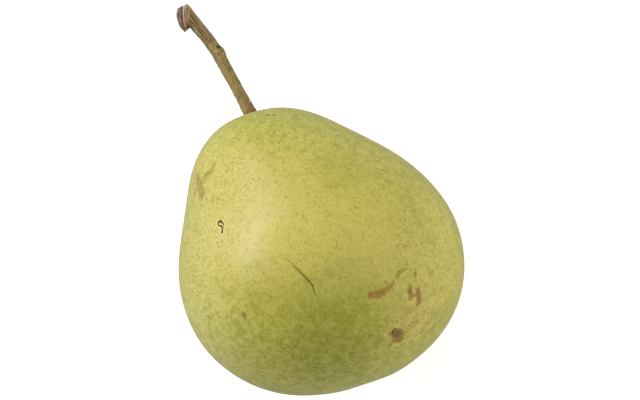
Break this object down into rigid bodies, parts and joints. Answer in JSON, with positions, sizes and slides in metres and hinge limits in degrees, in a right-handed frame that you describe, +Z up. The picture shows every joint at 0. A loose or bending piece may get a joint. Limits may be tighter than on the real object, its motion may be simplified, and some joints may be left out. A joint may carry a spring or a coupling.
{
  "type": "pear",
  "caption": "Whole green dessert pear with its woody stem and dried calyx, lying on its side on a small flat spot: fresh fruit for a bowl, crate, shelf or table.",
  "frame": {"origin": "the middle of the small flat spot on the belly that the pear rests on", "axes": "+Z up, with Z = 0 the resting surface; -X towards the stem and +X towards the calyx; +Y across the belly"},
  "size_m": [0.1133, 0.0768, 0.0755],
  "materials": {
    "pear_skin": "waxy satin fruit skin, yellow-green with fine darker dots, faint mottling and a few brown marks",
    "stem_wood": "dry olive-brown bark with fine ridges and pale flecks, dark scar at its flared end",
    "dried_sepal": "matt, dry and wrinkled, dark brown",
    "dried_tuft": "matt, dry and fibrous, nearly black brown"
  },
  "bodies": {
    "root": {"fruit": "pear_skin", "stem": "stem_wood", "sepal_1": "dried_sepal", "sepal_2": "dried_sepal", "sepal_3": "dried_sepal", "sepal_4": "dried_sepal", "sepal_5": "dried_sepal", "calyx_tuft": "dried_tuft"}
  },
  "joints": []
}
